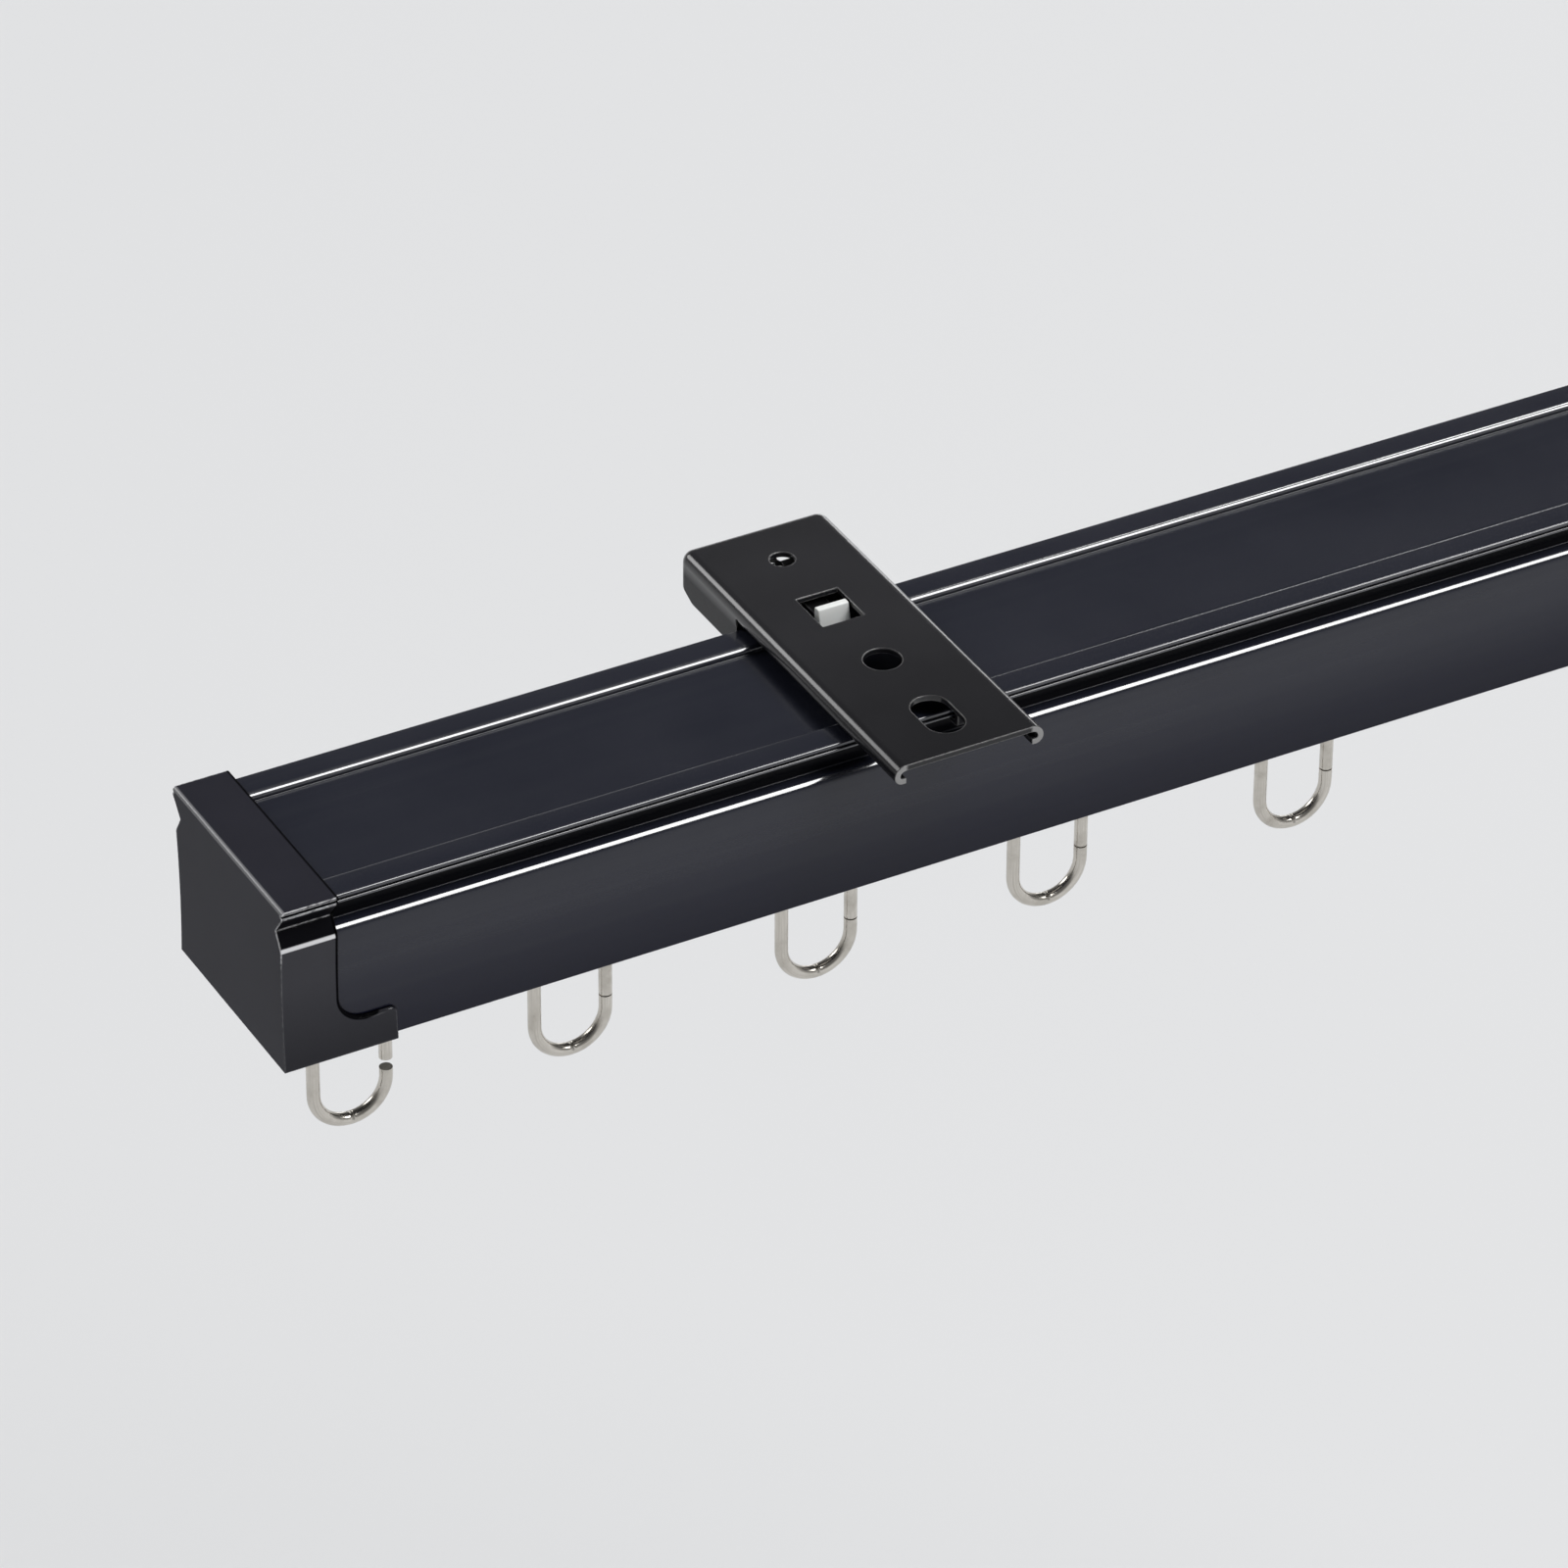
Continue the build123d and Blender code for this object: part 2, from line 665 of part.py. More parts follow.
def swivel_eye():
    """Eye that turns under the base plate, on a stem with an upset head."""
    eye = hanging_lug(0, eye_top)
    low = eye_top - eye_edge_round
    head = foot_bottom + stem_fit
    eye += Pos(0, 0, (low + head) / 2) * Cylinder(stem_diameter / 2, head - low)
    return eye + Pos(0, 0, head + stem_head_height / 2) * Cylinder(stem_head_diameter / 2, stem_head_height)


def ring(gap):
    """Oval wire ring in the plane of the track, cut through once in its right leg."""
    radius = (ring_width - ring_wire) / 2
    top = eye_hole_height + ring_play - radius
    bottom = ring_bottom + ring_wire / 2 + radius
    upper_end = seam_height + gap / 2
    lower_end = seam_height - gap / 2
    path = Wire([
        Line((radius, upper_end), (radius, top)),
        CenterArc((0, top), radius, 0, 180),
        Line((-radius, top), (-radius, bottom)),
        CenterArc((0, bottom), radius, 180, 180),
        Line((radius, bottom), (radius, lower_end)),
    ])
    start = Plane(origin=(radius, 0, upper_end), z_dir=(0, 0, 1))
    return sweep(start * Circle(ring_wire / 2), path=Plane.XZ * path)


def save(name, shape):
    """Moves a piece into the ceiling's frame and writes it."""
    middle = track_length / 2
    placed = Pos(-middle, -screw_hole_y, -ceiling_height) * shape
    placed.label = name
    export_step(placed, f"parts/{name}.step")


def turned(shape):
    """The same piece at the far end of the track, turned half round."""
    middle = track_length / 2
    return Pos(middle, 0, 0) * Rot(0, 0, 180) * Pos(-middle, 0, 0) * shape


def main():
    os.makedirs("parts", exist_ok=True)
    save("track_profile", track_profile())

    cap = end_cap()
    open_ring = Pos(end_ring_from_end, 0, 0) * ring(open_seam_gap)
    save("end_cap_left", cap)
    save("end_cap_right", turned(cap))
    save("end_ring_left", open_ring)
    save("end_ring_right", turned(open_ring))

    bracket = {"plate": bracket_plate(), "latch": latch(), "button": button(), "spring": spring()}
    brackets = {"left": bracket_from_end, "right": track_length - bracket_from_end}
    for side, x in brackets.items():
        for piece, shape in bracket.items():
            save(f"bracket_{side}_{piece}", Pos(x, 0, 0) * shape)

    carrier = {
        "body": carrier_body(),
        "core": carrier_core(),
        "base_plate": base_plate(),
        "axle": axle_rivet(),
        "wheel_front": wheel(-1),
        "wheel_back": wheel(1),
        "swivel_eye": swivel_eye(),
        "ring": ring(seam_gap),
    }
    for number, x in enumerate(carrier_places, start=1):
        for piece, shape in carrier.items():
            save(f"carrier_{number}_{piece}", Pos(x, 0, 0) * shape)


main()
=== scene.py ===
# %% [markdown]
# # A black ceiling curtain track
# The object is a short length of ceiling track: an extruded aluminium profile with a moulded
# cap on each end, two pressed steel brackets that clip it to the ceiling, and wheeled carriers
# inside that each carry an oval ring. The solid model is loaded first and is never changed. This
# file dresses it: it rounds the edges so that they catch the light, sweeps the profile, the
# rings and the springs again as smooth surfaces, and gives every piece its finish.

# %% Load the solid model
import json
import math

import bmesh
import bpy
from mathutils import Matrix, Vector

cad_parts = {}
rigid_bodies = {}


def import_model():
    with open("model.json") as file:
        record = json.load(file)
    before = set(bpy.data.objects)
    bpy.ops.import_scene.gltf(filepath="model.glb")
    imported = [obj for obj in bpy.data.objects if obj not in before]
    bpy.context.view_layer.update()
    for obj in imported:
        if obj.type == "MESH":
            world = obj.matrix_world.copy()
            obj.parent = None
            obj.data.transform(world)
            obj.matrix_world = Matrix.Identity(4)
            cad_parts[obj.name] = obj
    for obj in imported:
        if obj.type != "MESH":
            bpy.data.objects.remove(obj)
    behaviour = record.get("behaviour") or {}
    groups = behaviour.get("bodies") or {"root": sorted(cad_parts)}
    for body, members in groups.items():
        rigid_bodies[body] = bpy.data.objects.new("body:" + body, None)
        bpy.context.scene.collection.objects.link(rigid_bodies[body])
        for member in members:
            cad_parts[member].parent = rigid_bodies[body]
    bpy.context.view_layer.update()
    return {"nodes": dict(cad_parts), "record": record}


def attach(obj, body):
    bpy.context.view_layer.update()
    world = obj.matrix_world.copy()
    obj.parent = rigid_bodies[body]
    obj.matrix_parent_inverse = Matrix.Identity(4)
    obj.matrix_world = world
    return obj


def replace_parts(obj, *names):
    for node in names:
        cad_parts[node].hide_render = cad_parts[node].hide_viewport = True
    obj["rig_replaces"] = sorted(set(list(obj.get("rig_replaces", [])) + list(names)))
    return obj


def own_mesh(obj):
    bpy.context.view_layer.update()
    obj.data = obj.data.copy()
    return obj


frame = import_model()
nodes = frame["nodes"]
bodies = frame["record"]["behaviour"]["bodies"]
body_of = {node: body for body, members in bodies.items() for node in members}
slot_of = {part["node"]: part["material_slot"] for part in frame["record"]["subparts"]}

# %% [markdown]
# Everything below is in metres. The sizes are easier to read in millimetres along the track from
# the outer face of the left cap, across it from its middle, and up from the caps' underside. One
# helper turns such a point into the model's own frame, whose origin is on the ceiling midway
# between the two screws, and two more do so for a place across the track or a height alone.

# %% Millimetres and the place of a point
MM = 0.001
track_length = 320.0
ceiling_height = 26.0
screw_line = -4.35
bracket_from_end = 86.2
bracket_places = {"left": bracket_from_end, "right": track_length - bracket_from_end}


def place(x, y, z):
    """A point along, across and up the track, in the model's frame."""
    return Vector((x - track_length / 2, y - screw_line, z - ceiling_height)) * MM


def across(y):
    """A place across the track, counted from its middle, in the model's frame."""
    return place(0, y, 0).y


def level(z):
    """A height above the caps' underside, in the model's frame."""
    return place(0, 0, z).z


print("left cap starts at", [round(c, 5) for c in place(0, 0, 0)])

# %% [markdown]
# The camera comes first, because everything is judged through it. The photograph was taken with
# a long lens from the front left, looking down at about thirty-four degrees. The camera's
# directions below were worked out from the track's own edges, so lines in the render run as they
# do in the photograph.

# %% Camera
camera_at = Vector((-0.483552, -0.720971, 0.549154))
look = Vector((0.3974, 0.7232, -0.5649)).normalized()
right = Vector((0.8778, -0.4790, 0.0042))
right = (right - right.dot(look) * look).normalized()
up = right.cross(look)
camera = bpy.data.objects.new("camera", bpy.data.cameras.new("camera"))
camera.data.sensor_width = 36.0
camera.data.lens = 187.87
camera.data.clip_start = 0.05
camera.data.clip_end = 30.0
camera.matrix_world = Matrix.Translation(camera_at) @ Matrix((right, up, -look)).transposed().to_4x4()
bpy.context.scene.collection.objects.link(camera)
bpy.context.scene.camera = camera
bpy.context.scene.view_settings.view_transform = "Standard"
print("camera looks down", round(math.degrees(math.asin(-look.z)), 1), "degrees")

# %% [markdown]
# Nodes are added by one small builder, for finishes and for shapes alike. It takes a node's type,
# its settings and the values of its sockets. What it gives back is an output that Python's own
# arithmetic can go on from, so that a mask can be written as `1 - edge * 0.5`.

# %% A builder for node trees
class Out:
    """An output socket of a node."""

    def __init__(self, recipe, made, which=0):
        self.recipe, self.made, self.which = recipe, made, which

    @property
    def socket(self):
        return self.made.outputs[self.which]

    def __getitem__(self, which):
        return Out(self.recipe, self.made, which)

    def maths(self, operation, *values):
        return self.recipe.maths(operation, *values)

    def __add__(self, other):
        return self.maths("ADD", self, other)

    def __sub__(self, other):
        return self.maths("SUBTRACT", self, other)

    def __mul__(self, other):
        return self.maths("MULTIPLY", self, other)

    def __radd__(self, other):
        return self.maths("ADD", other, self)

    def __rsub__(self, other):
        return self.maths("SUBTRACT", other, self)

    def __rmul__(self, other):
        return self.maths("MULTIPLY", other, self)


class Recipe:
    """A node tree that is being filled."""

    def __init__(self, tree):
        self.tree = tree

    def node(self, kind, settings=None, values=None):
        made = self.tree.nodes.new(kind)
        for name, value in (settings or {}).items():
            if name == "stops":
                self.fill_ramp(made.color_ramp, value)
            else:
                setattr(made, name, value)
        for key, value in (values or {}).items():
            if isinstance(value, Out):
                self.tree.links.new(value.socket, made.inputs[key])
            else:
                made.inputs[key].default_value = value
        return Out(self, made)

    def maths(self, operation, *values):
        return self.node("ShaderNodeMath", {"operation": operation}, dict(enumerate(values)))

    def fill_ramp(self, ramp, stops):
        for element, (position, grey) in zip(ramp.elements, (stops[0], stops[-1])):
            element.position, element.color = position, (grey, grey, grey, 1)
        for position, grey in stops[1:-1]:
            ramp.elements.new(position).color = (grey, grey, grey, 1)


print("builder ready")

# %% [markdown]
# A finish is one Principled shader. The helpers give what most finishes need: a pattern that is
# fixed to the piece, a mix of two colours, a bump, a mask that is white along sharp edges, where
# a real coating wears thin and where some finishes also paint a highlight, and one that is white
# deep in joints and grooves. The edge mask compares the true surface with a rounded one, and the
# deep one counts how much of the room a point sees. There the shader gives way to plain black,
# which is painted shade, and the same painted shade can be laid over any other mask.

# %% Helpers for finishes
class Finish(Recipe):
    """A material on one Principled shader."""

    def __init__(self, name, **plain):
        self.material = bpy.data.materials.new(name)
        self.material.use_nodes = True
        super().__init__(self.material.node_tree)
        self.shader = next(n for n in self.tree.nodes if n.type == "BSDF_PRINCIPLED")
        for socket, value in plain.items():
            self.shader.inputs[socket.replace("_", " ")].default_value = value

    def to_shader(self, socket, value):
        self.tree.links.new(value.socket, self.shader.inputs[socket])

    def pattern(self, scale, detail=2.0, rough=0.5, stretch=(1, 1, 1), shift=(0, 0, 0)):
        """Soft noise fixed to the piece: scale is how many spots go into a metre."""
        at = self.node("ShaderNodeTexCoord")["Object"]
        at = self.node("ShaderNodeMapping", None, {0: at, "Location": shift, "Scale": stretch})
        values = {0: at, "Scale": scale, "Detail": detail, "Roughness": rough}
        return self.node("ShaderNodeTexNoise", None, values)

    def between(self, value, low, high):
        """Stretches part of a pattern's range to 0 to 1."""
        values = {0: value, 1: low, 2: high, 3: 0.0, 4: 1.0}
        return self.node("ShaderNodeMapRange", {"clamp": True}, values)

    def mix(self, share, first, second):
        colours = [tuple(c) + (1,) if isinstance(c, tuple) else c for c in (first, second)]
        values = {0: share, 6: colours[0], 7: colours[1]}
        return self.node("ShaderNodeMix", {"data_type": "RGBA"}, values)[2]

    def bump(self, height, depth, under=None):
        values = {"Height": height, "Strength": 1.0, "Distance": depth}
        if under is not None:
            values["Normal"] = under
        return self.node("ShaderNodeBump", None, values)

    def edge(self, radius, least=0.02, most=0.25):
        """White within a radius of a sharp edge."""
        rounded = self.node("ShaderNodeBevel", {"samples": 4}, {"Radius": radius})
        true = self.node("ShaderNodeNewGeometry")["Normal"]
        both = self.node("ShaderNodeVectorMath", {"operation": "DOT_PRODUCT"}, {0: rounded, 1: true})
        return self.between(1 - both["Value"], least, most)

    def position(self):
        """The three coordinates of a point of the piece."""
        return self.node("ShaderNodeSeparateXYZ", None, {0: self.node("ShaderNodeTexCoord")["Object"]})

    def paint_shade_in_joints(self, reach, dull=0.0):
        """Paints shade: the shader gives way to black where the surroundings close in, or where dull is
        white.
        """
        seen = self.node("ShaderNodeAmbientOcclusion", {"samples": 8}, {"Distance": reach})["AO"]
        # painted shade: plain black stands in for the shade deep in joints
        black = self.node("ShaderNodeBsdfDiffuse", None, {"Color": (0.001, 0.001, 0.001, 1)})
        whole = Out(self, self.shader)
        share = self.maths("MAXIMUM", self.between(seen, 0.80, 0.52), dull)
        mixed = self.node("ShaderNodeMixShader", None, {0: share, 1: whole, 2: black})
        end = next(n for n in self.tree.nodes if n.type == "OUTPUT_MATERIAL")
        self.tree.links.new(mixed.socket, end.inputs["Surface"])


finishes = {}
print("helpers ready")

# %% [markdown]
# The profile is black anodised aluminium. Drawn through a die, it carries very fine lines along
# its length, which break up its sheen, and the black is a little thinner on its sharp edges, where
# it is also painted lighter as a painted highlight. The lines are noise that is pulled out hundreds
# of times along the track. The dye has a blue tinge. The tall sides are painted darker towards
# their foot, and the wall of the groove under each lip is painted black: both are painted shade.
# The rounded corners, which hands and brackets rub, are polished: there the metal has a clear,
# hard coat. In the recess the front corner is polished less than the back one.

# %% Black anodised aluminium
foot_shade = (level(12.0), level(1.0))


def anodised(corners):
    """Each corner is a place across and up the profile, how far its polish reaches, and its gloss."""
    f = Finish("black_anodised_aluminium", IOR=1.46, Coat_IOR=2.0, Coat_Roughness=0.09)
    die_lines = f.pattern(5200, 3.0, 0.55, stretch=(0.002, 1, 1))
    broad_lines = f.pattern(900, 2.0, 0.5, stretch=(0.004, 1, 1), shift=(0.3, 0.1, 0.2))
    clouds = f.pattern(45, 3.0, 0.6)
    # worn edges: real wear, and partly a painted highlight along the sharp edges
    worn_and_painted_highlight = f.edge(0.00022) * f.between(f.pattern(1600, 4.0, 0.7, stretch=(0.15, 1, 1)), 0.42, 0.68)
    height = f.position()[2]
    upper = f.mix(f.between(clouds, 0.35, 0.65), (0.0120, 0.0135, 0.0225), (0.0160, 0.0175, 0.0270))
    # painted shade: the sides are painted darker towards their foot
    colour = f.mix(f.between(height, level(0.6), level(17.5)), (0.0012, 0.0018, 0.0170), upper)
    colour = f.mix(f.between(broad_lines, 0.45, 0.75) * 0.25, colour, (0.024, 0.026, 0.034))
    colour = f.mix(worn_and_painted_highlight * 0.8, colour, (0.34, 0.34, 0.35))
    f.to_shader("Base Color", colour)
    f.to_shader("Roughness", 0.16 + die_lines * 0.08 + clouds * 0.04)
    fine = f.bump(die_lines, 0.0000016)
    f.to_shader("Normal", f.bump(f.pattern(14000, 1.0), 0.0000012, fine))
    from_middle = f.position()[1] - across(0)
    beside = f.maths("ABSOLUTE", from_middle)
    rubbed_and_painted_shine = 0.0
    for y, z, reach, shine in corners:
        squared = f.maths("POWER", beside - y * MM, 2.0) + f.maths("POWER", height - level(z), 2.0)
        near = f.between(f.maths("SQRT", squared), reach * MM, reach * 0.7 * MM)
        rubbed_and_painted_shine = f.maths("MAXIMUM", rubbed_and_painted_shine, near * shine)
    front_recess = f.between(beside, 11.2 * MM, 10.8 * MM) * f.between(from_middle, 1.0 * MM, -1.0 * MM)
    f.to_shader("Coat Weight", rubbed_and_painted_shine * (1 - front_recess * 0.6))
    # painted shade: the wall of the groove under each lip is painted black
    over_shoulder = f.between(height, level(18.3), level(18.6))
    under_lip = f.between(height, level(21.7), level(21.5))
    in_wall = f.between(beside, 13.45 * MM, 13.2 * MM) * f.between(beside, 11.5 * MM, 11.7 * MM)
    painted_groove_shade = over_shoulder * under_lip * in_wall
    painted_foot_shade = f.between(height, *foot_shade)
    # painted shade: black in joints and in the groove, and partly black towards the foot
    f.paint_shade_in_joints(0.6 * MM, f.maths("MAXIMUM", painted_groove_shade * 0.85, painted_foot_shade * 0.35))
    return f.material


recess_corner, shoulder_corner = (9.8, 22.7, 0.75, 1.0), (13.42, 18.02, 0.3, 1.0)
upper_ridge, lower_ridge = (13.75, 22.8, 0.3, 0.5), (13.75, 21.9, 0.3, 0.5)
finishes["track"] = anodised([recess_corner, shoulder_corner, upper_ridge, lower_ridge])
print("track finish has", len(finishes["track"].node_tree.nodes), "nodes")

# %% [markdown]
# The caps and the latches are moulded in black plastic. A mould leaves an even, very fine grain
# and soft flow clouds, and handling rubs the edges grey. On a cap the upper edges are painted
# lighter still, and painted highlights run along the shoulder below the groove and along the top
# of the end face. A cap is glossy all round but has a dull end face, so the gloss is a coat that
# stops short of the ends of the track. It also stops at the cap's mouth, whose rounded corner is
# found by the distance from its centre. Painted shade makes the inside of the groove and the joint
# at the mouth black, and the foot of the sides darker.

# %% Black moulded plastic
elbow_from_end, elbow_height = 11.1, 8.2


def moulded(name, tone, gloss, shine):
    """Black plastic as it leaves the mould: gives the finish, its colour and its roughness."""
    f = Finish(name, IOR=1.49, Specular_IOR_Level=shine, Coat_IOR=1.85, Coat_Roughness=0.16)
    grain = f.pattern(9000, 2.0, 0.6)
    flow = f.pattern(60, 3.0, 0.65, stretch=(1, 1, 0.5))
    dark = tuple(c * 0.86 for c in tone)
    f.to_shader("Normal", f.bump(grain, 0.0000045))
    return f, f.mix(f.between(flow, 0.35, 0.65), dark, tone), gloss + grain * 0.10


def latch_plastic():
    f, colour, roughness = moulded("black_moulded_latch", (0.012, 0.012, 0.013), 0.34, 0.2)
    rubbed_and_painted_shine = f.edge(0.00028, 0.006, 0.05) * f.between(f.pattern(1300, 3.0, 0.7), 0.32, 0.55)
    f.to_shader("Base Color", f.mix(rubbed_and_painted_shine * 0.25, colour, (0.55, 0.55, 0.56)))
    f.to_shader("Roughness", roughness)
    return f.material


def cap_plastic():
    f, colour, roughness = moulded("black_moulded_cap", (0.0185, 0.0185, 0.0265), 0.30, 0.04)
    height = f.position()[2]
    from_end = track_length / 2 * MM - f.maths("ABSOLUTE", f.position()[0])
    beyond = elbow_from_end * MM - from_end
    below = f.maths("MAXIMUM", level(elbow_height) - height, 0.0)
    off_mouth = f.between(f.maths("SQRT", beyond * beyond + below * below), 3.9 * MM, 4.05 * MM)
    short_of_end = f.between(from_end, 0.01 * MM, 0.05 * MM)
    above_shoulder = f.between(height, level(17.8), level(17.95))
    under_ridge = f.between(height, level(22.35), level(22.1))
    painted_groove_shade = above_shoulder * under_ridge * short_of_end
    # painted highlight: a bright line along the shoulder's corner, below the groove
    painted_shoulder_highlight = f.between(height, level(17.32), level(17.45)) * (1 - above_shoulder)
    painted_shoulder_highlight = painted_shoulder_highlight * short_of_end * off_mouth
    scuffs = f.between(f.pattern(1300, 3.0, 0.7), 0.32, 0.55)
    upper = f.between(height, level(15.0), level(17.2))
    corner = f.edge(0.00028, 0.006, 0.05)
    # painted highlight along the top edge of the end face
    painted_end_highlight = f.between(from_end, 0.55 * MM, 0.4 * MM)
    painted_end_highlight = painted_end_highlight * f.between(height, level(23.0), level(23.15)) * 0.24
    # rubbed edges: real wear, painted lighter on the upper edges as a painted highlight
    rubbed_and_painted_shine = f.maths("MAXIMUM", corner * (0.10 + upper * off_mouth * 0.90) * scuffs, painted_shoulder_highlight)
    rubbed_and_painted_shine = f.maths("MAXIMUM", rubbed_and_painted_shine, painted_end_highlight)
    # painted shade: the inside of the groove is painted black
    colour = f.mix(painted_groove_shade * 0.85, colour, (0.0008, 0.0008, 0.0012))
    f.to_shader("Base Color", f.mix(rubbed_and_painted_shine * 0.9, colour, (0.80, 0.80, 0.82)))
    f.to_shader("Roughness", roughness - rubbed_and_painted_shine * 0.06)
    f.to_shader("Coat Weight", short_of_end * off_mouth * (1 - painted_groove_shade) * (0.33 + corner * 0.67))
    painted_foot_shade = f.between(height, *foot_shade) * short_of_end
    # painted shade: black in the joint at the mouth, darker towards the foot
    f.paint_shade_in_joints(0.5 * MM, f.maths("MAXIMUM", (1 - off_mouth) * 0.9, painted_foot_shade * 0.4))
    return f.material


finishes["cap"] = cap_plastic()
finishes["latch"] = latch_plastic()
print("plastics:", finishes["cap"].name, finishes["latch"].name)

# %% [markdown]
# The brackets are pressed steel with a black coat. Sprayed and baked, such a coat lies in very
# low waves, called orange peel, and it is thinnest on the edges and round the punched holes, where
# a little bare steel shows; these grey edges are also a painted highlight. The cut ends of the
# rolled edges at the front carry a painted glint. The coat is glossy on the face and dull on the
# cheeks below it, and painted shade makes the bracket a little blacker towards the front.

# %% Black coated steel
def coated_steel():
    f = Finish("black_coated_steel", Specular_IOR_Level=0.12, Coat_IOR=1.48, Coat_Roughness=0.15)
    peel = f.pattern(950, 2.0, 0.45)
    dust = f.pattern(8000, 2.0, 0.6)
    clouds = f.pattern(70, 3.0, 0.6)
    # chipped edges: real wear, and partly a painted highlight along the edges
    chipped_and_painted_glint = f.edge(0.00022, 0.01, 0.12) * f.between(f.pattern(1500, 4.0, 0.75), 0.30, 0.52)
    colour = f.mix(f.between(clouds, 0.35, 0.65), (0.0135, 0.0135, 0.0160), (0.0175, 0.0175, 0.0205))
    from_middle = f.maths("ABSOLUTE", f.position()[0])
    from_bracket = f.maths("ABSOLUTE", from_middle - place(bracket_places["right"], 0, 0).x)
    # painted glint on the cut ends of the rolled edges at the front
    painted_cut_glint = f.between(f.position()[1], across(-25.74), across(-25.78))
    painted_cut_glint = painted_cut_glint * f.between(from_bracket, 8.4 * MM, 8.8 * MM)
    chipped_and_painted_glint = f.maths("MAXIMUM", chipped_and_painted_glint, painted_cut_glint * 0.55)
    colour = f.mix(chipped_and_painted_glint * 0.85, colour, (0.55, 0.545, 0.54))
    f.to_shader("Base Color", colour)
    f.to_shader("Roughness", 0.19 + dust * 0.08 + clouds * 0.04)
    f.to_shader("Normal", f.bump(peel, 0.000006, f.bump(dust, 0.000001)))
    f.to_shader("Coat Weight", f.between(f.position()[2], -3.0 * MM, -1.2 * MM))
    # painted shade: a little blacker towards the front
    painted_front_shade = f.between(f.position()[1], across(4), across(-24)) * 0.35
    f.paint_shade_in_joints(0.6 * MM, painted_front_shade * (1 - painted_cut_glint))
    return f.material


finishes["bracket"] = coated_steel()
print("bracket finish ready")

# %% [markdown]
# Wheels, carrier bodies and the buttons are white nylon. Nylon lets some light in and scatters
# it, so the shader has a little subsurface light, more of it in the thin carrier parts.

# %% White nylon
def nylon(name, pale, shade, depth, clear):
    f = Finish(name, IOR=1.53, Subsurface_Weight=depth, Subsurface_Scale=0.0016, Transmission_Weight=clear)
    f.shader.inputs["Subsurface Radius"].default_value = (1.0, 0.95, 0.9)
    flow = f.pattern(140, 3.0, 0.6)
    grain = f.pattern(5200, 2.0, 0.55)
    grime = f.edge(0.0003) * f.between(f.pattern(900, 3.0, 0.7), 0.45, 0.7)
    colour = f.mix(f.between(flow, 0.3, 0.7), shade, pale)
    f.to_shader("Base Color", f.mix(grime * 0.25, colour, (0.42, 0.42, 0.40)))
    f.to_shader("Roughness", 0.30 + grain * 0.14)
    f.to_shader("Normal", f.bump(grain, 0.000004))
    return f.material


finishes["runner"] = nylon("translucent_nylon", (0.87, 0.89, 0.90), (0.79, 0.82, 0.84), 0.45, 0.15)
finishes["button"] = nylon("white_nylon", (0.90, 0.92, 0.90), (0.84, 0.86, 0.84), 0.25, 0.0)
print("nylons:", finishes["runner"].name, finishes["button"].name)

# %% [markdown]
# The metal parts differ in how they were made. Nickel plate on a pressed part is bright, with
# shallow dents from tumbling. Rolled sheet has its lines along the sheet. Wire is drawn through
# a die, so its lines follow the wire round every bend. The wire's pieces carry two attributes
# for that, made with their shape: how far along the wire a point is, and where round it.

# %% Bare and plated metals
def plated(name, colour, dull, gloss):
    f = Finish(name, Metallic=1.0)
    dents = f.pattern(700, 2.0, 0.5)
    haze = f.pattern(160, 4.0, 0.65)
    fine = f.pattern(7000, 2.0, 0.6)
    f.to_shader("Base Color", f.mix(f.between(haze, 0.4, 0.7), colour, dull))
    f.to_shader("Roughness", gloss + f.between(haze, 0.35, 0.75) * 0.16 + fine * 0.06)
    f.to_shader("Normal", f.bump(dents, 0.000018, f.bump(fine, 0.0000015)))
    return f.material


def rolled_steel():
    f = Finish("rolled_steel", Metallic=1.0)
    lines = f.pattern(7000, 3.0, 0.6, stretch=(1, 1, 0.01))
    stain = f.pattern(220, 3.0, 0.6)
    f.to_shader("Base Color", f.mix(f.between(stain, 0.4, 0.7), (0.56, 0.55, 0.53), (0.42, 0.40, 0.37)))
    f.to_shader("Roughness", 0.24 + lines * 0.2)
    f.to_shader("Normal", f.bump(lines, 0.000003))
    return f.material


def drawn_wire(name, colour, dull, gloss):
    f = Finish(name, Metallic=1.0)
    along = f.node("ShaderNodeAttribute", {"attribute_name": "along_wire"})["Fac"]
    around = f.node("ShaderNodeAttribute", {"attribute_name": "round_wire"})["Vector"]
    parts = f.node("ShaderNodeSeparateXYZ", None, {0: around})
    fine, long = 9000.0, 120.0
    at = f.node("ShaderNodeCombineXYZ", None, {0: parts[0] * fine, 1: parts[1] * fine, 2: along * long})
    lines = f.node("ShaderNodeTexNoise", None, {0: at, "Scale": 1.0, "Detail": 3.0})
    stain = f.pattern(260, 4.0, 0.65)
    streaks = f.between(lines, 0.42, 0.66) * 0.5
    dulled = f.maths("MAXIMUM", streaks, f.between(stain, 0.42, 0.7) * 0.7)
    f.to_shader("Base Color", f.mix(dulled, colour, dull))
    f.to_shader("Roughness", gloss + lines * 0.12 + f.between(stain, 0.4, 0.7) * 0.1)
    f.to_shader("Normal", f.bump(lines, 0.0000035, f.bump(f.pattern(900, 2.0), 0.000012)))
    return f.material


finishes["plated"] = plated("bright_nickel", (0.80, 0.77, 0.73), (0.60, 0.57, 0.52), 0.13)
finishes["core"] = rolled_steel()
finishes["wire"] = drawn_wire("stainless_wire", (0.64, 0.61, 0.56), (0.36, 0.335, 0.29), 0.13)
finishes["spring"] = drawn_wire("spring_wire", (0.34, 0.34, 0.34), (0.22, 0.21, 0.20), 0.2)
print("finishes:", sorted(finishes))

